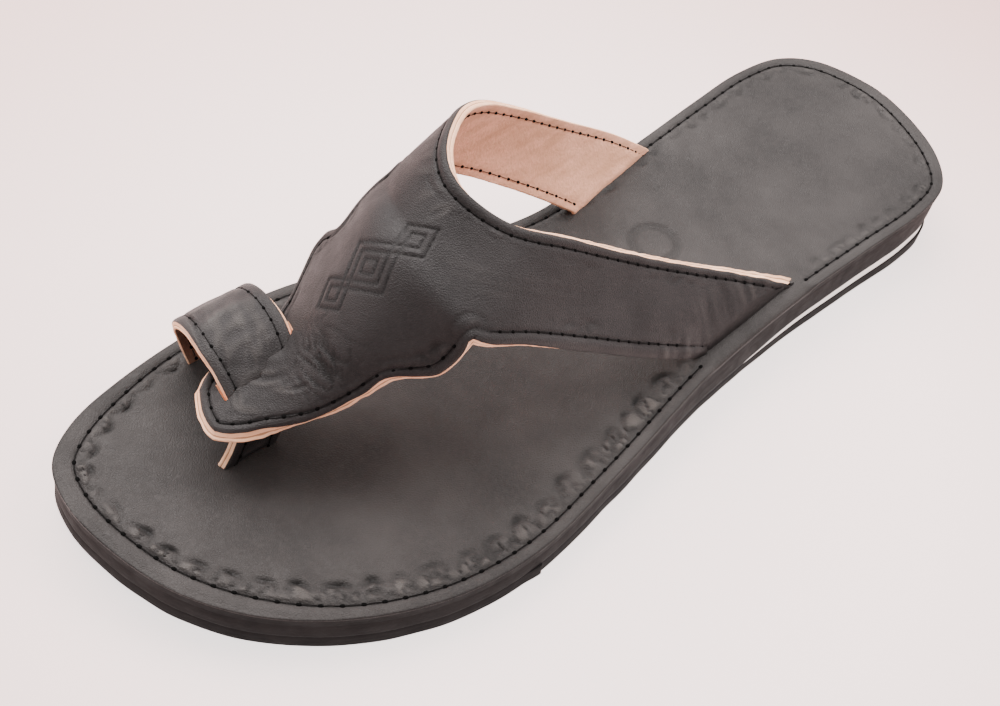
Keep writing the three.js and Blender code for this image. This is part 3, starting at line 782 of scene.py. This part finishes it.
def build_sole():
    y = OUTLINE[:, 1]
    low = insole_bottom(y)
    top = insole_top(y) - (RIM_RADIUS + FOOT_DROP * strap_foot(OUTLINE))
    rows = [(low + (top - low) * k / 4, np.full(len(y), 0.10 * (1 - k / 4))) for k in range(5)]
    sole_layer("insole_leather_piece", OUTLINE, rows, [INSOLE_LEATHER, DYED_EDGE],
               "insole", insole_columns, insole_surface, wall_index=1)
    rough = 0.16 * noise_at(np.column_stack([OUTLINE, y * 0]), 9, 41)
    rows = wall_rows(OUTLINE, lambda v: wedge_top(v) + 0.04, lambda v: insole_bottom(v) - 0.01,
                     count=7, corner=0.05, bulge=0.10)
    rows = [(z, inset + rough) for z, inset in rows]
    sole_layer("midsole_piece", OUTLINE, rows, [MIDSOLE_RUBBER], "midsole")
    nick = smooth_step(-EDGE_LENGTHS[:-1], -NICK_AT - 6, -NICK_AT) * (EDGE_LENGTHS[:-1] > NICK_AT)
    out = OUTSOLE_OUT * smooth_step(y, HEEL_BACK - BALL_WIDTH * 0.6, HEEL_BACK - BALL_WIDTH * 0.1)
    rows = wall_rows(OUTLINE, spring, lambda v: outsole_top(v) + 0.02, count=3, corner=0.06, bulge=0)
    rows = [(z, inset + rough - 0.5 * nick - out) for z, inset in rows]
    sole_layer("outsole_piece", OUTLINE, rows, [OUTSOLE_RUBBER], "outsole")
    heel = outline_loop(0.0, WEDGE_TIP)
    y = heel[:, 1]
    z0 = outsole_top(y) + 0.05
    z1 = np.maximum(wedge_top(y), z0 + 0.01)
    heights = [z0 + (z1 - z0) * k / 4 for k in range(5)]
    rows = [(z, side_inset(z, y) + 0.06) for z in heights]
    sole_layer("heel_wedge_piece", heel, rows, [WEDGE_FOAM], "heel_wedge")
    path = OUTLINE + loop_inward(OUTLINE) * stitch_inset(OUTLINE[:, 1])[:, None]
    hidden = strap_foot(OUTLINE) > 0.3
    after = int(np.nonzero(hidden)[0][-1]) + 1
    path = np.roll(path, -after, 0)[:len(path) - int(hidden.sum())]
    z, _ = insole_surface(path)
    points = np.column_stack([path, z + SOLE_STITCH_LIFT])
    normals = np.tile([0.0, 0.0, 1.0], (len(points), 1))
    stitches("sole_stitches", points, normals, SOLE_STITCH,
             hole=SOLE_HOLE, thread=SOLE_THREAD)


# The leather sheets

def sheet_normals(points, quads):
    corner = points[quads]
    face = np.cross(corner[:, 2] - corner[:, 0], corner[:, 3] - corner[:, 1])
    face /= np.linalg.norm(face, axis=1)[:, None] + 1e-12
    normals = np.zeros_like(points)
    for k in range(4):
        np.add.at(normals, quads[:, k], face)
    return unit(normals)


def sheet_edge(quads):
    """The sheet's boundary as one loop of vertex numbers, the sheet on its left."""
    directed = {}
    for quad in quads.tolist():
        for k in range(4):
            a, b = quad[k], quad[(k + 1) % 4]
            directed[(a, b)] = True
    follow = {a: b for a, b in directed if (b, a) not in directed}
    start = next(iter(follow))
    loop = [start]
    while follow[loop[-1]] != start:
        loop.append(follow[loop[-1]])
    return np.array(loop)


def relax(points, quads, rounds, fixed):
    """Evens out a sheet inside its edges."""
    edges = np.unique(np.sort(np.vstack([quads[:, [k, (k + 1) % 4]] for k in range(4)]), axis=1), axis=0)
    count = np.zeros(len(points))
    np.add.at(count, edges.ravel(), 1)
    free = np.ones(len(points), bool)
    free[fixed] = False
    for _ in range(rounds):
        total = np.zeros_like(points)
        np.add.at(total, edges[:, 0], points[edges[:, 1]])
        np.add.at(total, edges[:, 1], points[edges[:, 0]])
        mean = total / count[:, None]
        points[free] += 0.5 * (mean[free] - points[free])
    return points


def crease_field(points, strokes):
    """Soft troughs with a low ridge on each side, along strokes drawn on the leather, and their tone:
    pale on the ridges for rubbed wear and a painted highlight, painted shade in the troughs.
    """
    field = np.zeros(len(points))
    tone = np.zeros(len(points))
    for stroke, width, depth in strokes:
        line = curve_points(stroke, [10] * (len(stroke) - 1))
        distance, index = nearest(points, line)
        fade = np.sin(np.clip(index / (len(line) - 1), 0.04, 0.96) * math.pi) ** 0.5
        field -= depth * fade * bell(distance, width)
        field += 0.5 * depth * fade * bell(distance - 1.9 * width, width)
        # Painted highlight, with rubbed wear, on the ridges; painted shade in the troughs
        tone += 0.5 * fade * bell(distance - 1.7 * width, width * 0.7) * min(depth / 0.3, 1)
        tone -= 0.8 * fade * bell(distance, width * 0.8) * min(depth / 0.4, 1)
    return field, tone


def leather_sheet(name, points, quads, thick, setback, outer_shape, inner_shape, materials, node):
    """A lined leather sheet. Its cut edges show both layers, the lining out past the dark leather.

    setback gives, for points on the edge, how far the dark leather stops short of the lining.
    """
    normals = sheet_normals(points, quads)
    loop = sheet_edge(quads)
    run = np.roll(points[loop], -1, 0) - np.roll(points[loop], 1, 0)
    outward = unit(np.cross(run, normals[loop]))
    back = setback(points[loop])
    distance, index = nearest(points, points[loop])
    up, wear_and_shade_there = outer_shape(points, distance)
    down = inner_shape(points, distance)
    pull = back[index] * np.exp(-distance / (1.7 * np.maximum(np.abs(back[index]), 0.05)))
    outer = points + normals * (thick / 2 + up)[:, None] - outward[index] * pull[:, None]
    inner = points + normals * (down - thick / 2)[:, None]
    rough = 0.07 * noise_at(points[loop], 1.8, 11)
    frayed = 0.16 * back * noise_at(points[loop], 2.6, 12)
    # Down the cut edge: depth under the face, how far out, material
    profile = [
        (0.00, -back - 0.22, 0), (0.08, -back - 0.06, 0), (DYED_SKIN, -back, 0),
        (GRAIN_LAYER * 0.6, -0.75 * back, 1), (GRAIN_LAYER - 0.10, -0.52 * back, 1),
        (GRAIN_LAYER, -0.50 * back - 0.06, 2), (GRAIN_LAYER + 0.10, -0.34 * back - 0.04, 2),
        (GRAIN_LAYER + 0.20, -0.12 * back, 1), (GRAIN_LAYER + 0.40, 0.02 + 0 * back, 1),
        (thick * 0.85, 0.03 + 0 * back, 1), (thick - 0.12, -0.06 + 0 * back, 1),
        (thick, -0.25 + 0 * back, 1),
    ]
    n = len(points)
    count = len(loop)
    face = outer[loop] + outward * back[:, None]
    reverse = inner[loop].copy()
    outer[loop] = face + outward * profile[0][1][:, None]
    inner[loop] = reverse + outward * profile[-1][1][:, None]
    rings = []
    for depth, out, _ in profile[1:-1]:
        share = depth / thick
        ring = face * (1 - share) + reverse * share
        if depth < thick - 0.2:
            out = out + rough * (depth > 0.25) + frayed * (depth > GRAIN_LAYER)
        rings.append(ring + outward * out[:, None])
    vertices = np.vstack([outer, inner, *rings])
    rows = [loop] + [2 * n + k * count + np.arange(count) for k in range(len(rings))] + [loop + n]
    faces = quads.tolist() + (quads[:, ::-1] + n).tolist()
    indexes = [0] * len(quads) + [3] * len(quads)
    for k in range(len(rows) - 1):
        a, b = rows[k], rows[k + 1]
        a2, b2 = np.roll(a, -1), np.roll(b, -1)
        faces += np.column_stack([a2, a, b, b2]).tolist()
        indexes += [profile[k + 1][2]] * count
    wear_and_shade = np.zeros(len(vertices))
    wear_and_shade[:n] = wear_and_shade_there
    piece = make_piece(name, vertices, faces, materials, indexes, wear_and_shade=wear_and_shade)
    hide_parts(node)
    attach(piece, "root")
    return piece, outer - points, inner - points, normals, dict(zip(loop.tolist(), outward))


def upper_point(along, across, up, rise):
    y = HEEL_BACK - along * SOLE_LENGTH
    return np.array([across * BALL_WIDTH, y, insole_top(y) + up * rise])


def rounded(line, window):
    """A line with its corners rounded by a running mean, its ends kept."""
    kernel = np.hanning(window + 2)[1:-1]
    half = window // 2
    ends = [2 * line[0] - line[half:0:-1], line, 2 * line[-1] - line[-2:-half - 2:-1]]
    return running_mean(np.vstack(ends), kernel / kernel.sum())


def with_tabs(line):
    """A line led straight down at both ends, through the insole."""
    tab = np.array([0, 0, -(INSOLE_THICK - FIT_GAP)])
    ends = np.linspace(1, 0, 4)[:-1, None]
    return np.vstack([line[0] + tab * ends, line, line[-1] + tab * ends[::-1]])


def leather_band(rear, front, steps):
    """A band of leather between two edges: its points as a grid, and their numbers."""
    share = np.linspace(0, 1, steps + 1)[:, None, None]
    grid = rear[None] * (1 - share) + front[None] * share
    return grid, np.arange(grid.shape[0] * grid.shape[1]).reshape(grid.shape[:2])


def upper_sheet():
    """The strap and the vamp as one sheet, as in the solids but much finer."""
    steps = [34 if INNER_CORNER <= k < OUTER_CORNER else 22 for k in range(len(STRAP_ROWS) - 1)]
    edges = [[upper_point(*r[c:c + 3], INSTEP_RISE) for r in STRAP_ROWS] for c in (0, 3)]
    edges = [with_tabs(curve_points(edge, steps)) for edge in edges]
    strap, strap_ids = leather_band(*edges, steps=54)
    points = [strap.reshape(-1, 3)]
    first = 3 + sum(steps[:INNER_CORNER])
    last = 3 + sum(steps[:OUTER_CORNER])
    columns = last - first
    vamp_steps = 13

    def line(c, at_strap):
        rows = [at_strap] + [upper_point(*r[c:c + 3], INSTEP_RISE) for r in VAMP_ROWS]
        return curve_points(rows, [vamp_steps] * (len(rows) - 1))

    corner = strap[-1, first], strap[-1, (first + last) // 2], strap[-1, last]
    inner_edge, ridge, outer_edge = line(0, corner[0]), line(4, corner[1]), line(7, corner[2])
    inner_edge, outer_edge = rounded(inner_edge, window=9), rounded(outer_edge, window=27)
    cut_rows = np.array([[0, 0]] + [[r[3], r[10]] for r in VAMP_ROWS])
    level = np.arange(len(ridge)) / vamp_steps
    cuts = [np.interp(level, np.arange(len(cut_rows)), cut) for cut in cut_rows.T]
    cuts = rounded(np.column_stack(cuts), window=13)
    vamp_ids = [strap_ids[-1, first:last + 1]]
    total = len(points[0])
    for j in range(1, len(ridge)):
        u = np.linspace(cuts[j, 0], 1 - cuts[j, 1], columns + 1)[:, None]
        row = inner_edge[j] * (1 - u) * (1 - 2 * u) + ridge[j] * 4 * u * (1 - u)
        points.append(row + outer_edge[j] * u * (2 * u - 1))
        vamp_ids.append(total + np.arange(columns + 1))
        total += columns + 1
    points = np.vstack(points)
    vamp_ids = np.array(vamp_ids)
    quads = np.vstack([grid_quads(strap_ids), grid_quads(vamp_ids)])
    return points, quads, strap_ids, vamp_ids, first, last


def sew_edges(prefix, points, shifts, normals, outward, lines, window):
    """Stitches along both edges of a leather sheet, on its face and on its lining."""
    for side, shift, sign, rest, inset in (("outer", shifts[0], 1, 0.35, STRAP_STITCH_IN),
                                           ("lining", shifts[1], -1, 1.6, LINING_STITCH_IN)):
        for edge, ids in lines.items():
            path, n = inset_path(points, shift, normals * sign, ids, outward, inset, window)
            stitches(f"{prefix}_{edge}_stitches_{side}", path, n, STRAP_STITCH, rest=rest)


def tooling(points):
    """Depth of a plain tooled device of nested lozenges in a row."""
    place = points - np.array(TOOLING_AT)
    along = np.array(TOOLING_RUN) / np.linalg.norm(TOOLING_RUN)
    across = np.cross(along, TOOLING_FACING)
    across /= np.linalg.norm(across)
    a = place @ along
    b = place @ across
    field = np.zeros(len(points))
    for middle, sizes in LOZENGES:
        spread = (np.abs(b) * 1.2 + np.abs(a - middle)) * 0.64
        for size in sizes:
            field = np.maximum(field, bell(spread - size * 0.64, TOOLING_STROKE))
    return field * (np.linalg.norm(place, axis=1) < 26)


def build_upper():
    points, quads, strap_ids, vamp_ids, first, last = upper_sheet()
    loop = sheet_edge(quads)
    tab_ids = np.unique(np.concatenate([strap_ids[:, :6].ravel(), strap_ids[:, -6:].ravel()]))
    points = relax(points, quads, 60, np.concatenate([loop, tab_ids]))
    rear_ids = strap_ids[0, 3:-3]
    front_ids = np.concatenate([strap_ids[-1, 3:first], vamp_ids[:, 0], vamp_ids[-1, 1:-1],
                                vamp_ids[::-1, -1], strap_ids[-1, last + 1:-3]])
    rear_line, front_line = points[rear_ids], points[front_ids]
    rear_s, front_s = lengths_along(rear_line), lengths_along(front_line)
    lines = np.vstack([rear_line, front_line])
    line_s = np.concatenate([rear_s, front_s + 500])
    lip_line = curve_points(SLIT_LIP, [8] * (len(SLIT_LIP) - 1))

    def setback(where):
        _, k = nearest(where, lines)
        rear_share, front_share = line_s[k] / rear_s[-1], (line_s[k] - 500) / front_s[-1]
        rear = np.interp(rear_share, *np.array(REAR_SETBACK).T)
        front = np.interp(front_share, *np.array(FRONT_SETBACK).T)
        back = np.where(k < len(rear_line), rear, front)
        return back * (1 + 0.22 * noise_at(where, 6, 13))

    def outer_shape(where, distance):
        near_edge, k = nearest(where, lines)
        along = line_s[k]
        up = -0.18 * bell(near_edge, 0.8)
        up -= 0.30 * bell(near_edge - STRAP_STITCH_IN, 0.45)
        up += 0.24 * bell(near_edge - STRAP_STITCH_IN * 0.5, 0.9)
        gathers, tone = edge_gathers(along, near_edge - STRAP_STITCH_IN, where, 3.0, 7.4, 21)
        patch = np.clip(0.30 + 1.2 * noise_at(where, 20, 26), 0, 1)
        up += 0.55 * patch * gathers
        up += 0.30 * noise_at(where, 24, 23) + 0.10 * noise_at(where, 7, 24)
        folds, fold_tone = crease_field(where, VAMP_CREASES + STRAP_CREASES)
        up += folds
        from_lip, lip_index = nearest(where, lip_line)
        lines_there = np.exp(-(noise_at(where * (0.22, 1.0, 1.0), 1.7, 29) / 0.16) ** 2)
        fan = bell(np.linalg.norm(where - np.array(FAN_AT), axis=1), 9.0)
        up -= 0.42 * fan * lines_there
        low_lip = 1 - 0.8 * smooth_step(lip_index / len(lip_line), 0.45, 0.85)
        up += SLIT_LIP_RISE * bell(from_lip, 2.2) * low_lip
        cut = tooling(where)
        up -= TOOLING_DEPTH * cut
        height = where[:, 2] - insole_top(where[:, 1])
        outer_arm = (where[:, 0] > 8) & (where[:, 1] > -130)
        shoulder = np.where(outer_arm, 1 - smooth_step(height, 0, 4.5), 0)
        up -= 1.1 * shoulder**1.5
        end_folds = np.where(outer_arm, smooth_step(height, 2, 5) * (1 - smooth_step(height, 9, 15)), 0)
        ribs = noise_at(np.column_stack([where[:, 1] * 1.0, height * 0.3, height * 0]), 2.6, 27)
        up += 0.6 * end_folds * ribs
        # Pale just inside the cut edge where it is rubbed; the gathers' and creases' rubbed wear,
        # painted highlight and painted shade
        tone = 0.6 * tone * patch + 0.12 * bell(near_edge - 0.5, 0.6) + 0.5 * fold_tone
        # End folds paler where raised and darker where sunk, as painted highlight and painted shade;
        # darker tooled lines; painted shade along the stitches
        tone += 0.45 * end_folds * ribs - 0.40 * cut - 0.4 * bell(near_edge - STRAP_STITCH_IN, 0.4)
        # Painted shadow where the strap's foot bends down into the sole, and painted shade in the fine
        # wrinkles of the fan
        tone -= 0.5 * shoulder**2 + 0.9 * fan * lines_there
        return up, np.clip(tone, -1, 1)

    def inner_shape(where, distance):
        down = 0.30 * noise_at(where, 24, 23) + 0.14 * bell(distance - LINING_STITCH_IN, 0.6)
        return down + 0.10 * noise_at(where * (1.0, 0.5, 1.6), 3.2, 28)

    piece, outer, inner, normals, outward = leather_sheet(
        "upper_piece", points, quads, STRAP_THICK, setback, outer_shape, inner_shape,
        [UPPER_LEATHER, CREAM_EDGE, GLUE_LINE, LINING], "upper")
    sew_edges("upper", points, (outer, inner), normals, outward,
              {"rear": rear_ids, "front": front_ids}, window=15)
    return piece


def inset_path(points, offset, normals, ids, outward, inset, window):
    """A line on a sheet's face, inset from its edge, with the face's normals."""
    base = points[ids] - np.array([outward[i] for i in ids.tolist()]) * inset
    _, index = nearest(base, points)
    n = normals[index]
    base = base - n * np.sum((base - points[index]) * n, axis=1)[:, None] + offset[index]
    padded = np.pad(base, ((window // 2, window // 2), (0, 0)), mode="edge")
    return running_mean(padded, np.ones(window) / window) + n * STITCH_LIFT, n


def ring_sheet(widen=0.0):
    """The toe ring as one sheet, each edge moved out by widen."""
    steps = [9] * (len(RING_ROWS) - 1)
    edges = []
    for along, up, shift in ((3, 4, widen), (1, 2, -widen)):
        line = curve_points([upper_point(r[along], r[0], r[up], RING_RISE) for r in RING_ROWS], steps)
        line[:, 1] += shift
        edges.append(with_tabs(line))
    grid, ids = leather_band(*edges, steps=26)
    return grid.reshape(-1, 3), grid_quads(ids), ids


def build_ring():
    points, quads, ids = ring_sheet()

    def outer_shape(where, distance):
        up = -0.18 * bell(distance, 0.7) - 0.26 * bell(distance - STRAP_STITCH_IN, 0.45)
        folds, fold_tone = crease_field(where, RING_CREASES)
        broad = noise_at(where, 11, 31)
        ribs = noise_at(where * (1.0, 0.35, 1.0), 2.8, 33)
        middle = smooth_step(distance, STRAP_STITCH_IN - 0.5, STRAP_STITCH_IN + 1.5)
        up += folds + 0.32 * broad + 0.40 * middle * ribs
        # Pale just inside the edge where it is rubbed; the creases' painted highlight and painted shade;
        # the ribs paler where raised and darker where sunk, as painted highlight and painted shade
        tone = 0.12 * bell(distance - 0.4, 0.6) + 0.6 * fold_tone + 0.40 * middle * ribs
        # Painted shade along the stitches
        tone -= 0.4 * bell(distance - STRAP_STITCH_IN, 0.4)
        return up, np.clip(tone, -1, 1)

    def inner_shape(where, distance):
        return 0.2 * noise_at(where, 11, 31)

    piece, outer, inner, normals, outward = leather_sheet(
        "toe_ring_piece", points, quads, RING_THICK, lambda where: np.full(len(where), 0.45),
        outer_shape, inner_shape, [RING_LEATHER, CREAM_EDGE, GLUE_LINE, RING_LINING_SHADED],
        "toe_ring")
    sew_edges("ring", points, (outer, inner), normals, outward,
              {"rear": ids[0, 3:-3], "front": ids[-1, 3:-3]}, window=9)
    return piece


def cut_slit(upper_piece):
    """Cuts the slit that the toe ring goes down through."""
    points, quads, _ = ring_sheet(SLIT_PLAY)
    normals = sheet_normals(points, quads)
    thick = RING_THICK / 2 + SLIT_PLAY
    loop = sheet_edge(quads)
    n = len(points)
    faces = quads.tolist() + (quads[:, ::-1] + n).tolist()
    after = np.roll(loop, -1)
    faces += np.column_stack([after, loop, loop + n, after + n]).tolist()
    vertices = np.vstack([points + normals * thick, points - normals * thick])
    cutter = make_piece("slit_cutter", vertices, faces, list(upper_piece.data.materials),
                        [1] * len(faces), sharp=0)
    cut = upper_piece.modifiers.new("slit", "BOOLEAN")
    cut.operation = "DIFFERENCE"
    cut.solver = "EXACT"
    cut.object = cutter
    graph = bpy.context.evaluated_depsgraph_get()
    result = bpy.data.meshes.new_from_object(upper_piece.evaluated_get(graph))
    upper_piece.modifiers.clear()
    upper_piece.data = result
    bpy.data.objects.remove(cutter)


build_sole()
upper_piece = build_upper()
build_ring()
cut_slit(upper_piece)


# Floor, light and camera

FLOOR_REACH = 4000
FLOOR_LEVEL = -0.2            # just under the sole, so that the two never share a plane
LIGHTS_AIM = (0, -0.1, 0.02)
WARM_WHITE = (1.0, 0.97, 0.95)


def build_floor():
    """A pale floor with a painted pool of light: it glows round the sandal, brightest near it and pinker
    further out, and lights the sandal a little from below as on a light table.
    """
    material, tree, surface, place = shader("studio_floor")
    feed(surface, Base_Color=(0.48, 0.29, 0.265), Roughness=0.9, Specular_IOR_Level=0.1)
    length = tree.nodes.new("ShaderNodeVectorMath")
    length.operation = "DISTANCE"
    length.inputs[1].default_value = (0.02, -0.12, 0)
    tree.links.new(place, length.inputs[0])
    away = length.outputs["Value"]
    # Painted light: the glow is strongest near the sandal and fades outward
    glow = ranged(away, 0.10, 0.42, 2.2, 0.10)
    tint = mixed(ranged(away, 0.12, 0.40), (1.0, 0.95, 0.94), (1.0, 0.64, 0.60))
    feed(surface, Emission_Color=tint, Emission_Strength=glow)
    a, b = -FLOOR_REACH, FLOOR_REACH
    corners = [(x, y, FLOOR_LEVEL) for x, y in ((a, a), (b, a), (b, b), (a, b))]
    floor = make_piece("studio_floor", corners, [(0, 1, 2, 3)], [material], sharp=0)


def area_light(name, place, size, power, colour):
    light = bpy.data.lights.new(name, "AREA")
    light.shape = "SQUARE"
    light.size = size
    light.energy = power
    light.color = colour
    lamp = bpy.data.objects.new(name, light)
    lamp.location = place
    lamp.rotation_mode = "QUATERNION"
    lamp.rotation_quaternion = (Vector(LIGHTS_AIM) - Vector(place)).to_track_quat("-Z", "Y")
    bpy.context.scene.collection.objects.link(lamp)


build_floor()
area_light("key_light", (-1.05, 0.15, 1.30), size=1.6, power=98, colour=WARM_WHITE)
area_light("heel_light", (0.35, 1.10, 1.30), size=1.0, power=42, colour=WARM_WHITE)
area_light("fill_light", (-0.7, -1.3, 0.9), size=1.6, power=14, colour=(1.0, 0.96, 0.94))

world = bpy.data.worlds.new("studio")
bpy.context.scene.world = world
world.use_nodes = True
feed(world.node_tree.nodes["Background"], Color=(1.0, 0.94, 0.92), Strength=0.60)

camera_data = bpy.data.cameras.new("camera")
camera_data.lens = 45
camera_data.sensor_width = 36
camera_data.clip_start = 0.02
camera_data.clip_end = 30
camera = bpy.data.objects.new("camera", camera_data)
bpy.context.scene.collection.objects.link(camera)
# Place and turn of the camera that was fitted to the photograph's view
place = Vector((133.41, -306.58, 268.08)) * MM
turn = Matrix(((0.65171, -0.64948, 0.39172), (0.74192, 0.43858, -0.50715), (0.15758, 0.62115, 0.76769)))
camera.matrix_world = Matrix.Translation(place) @ turn.to_4x4()
bpy.context.scene.camera = camera
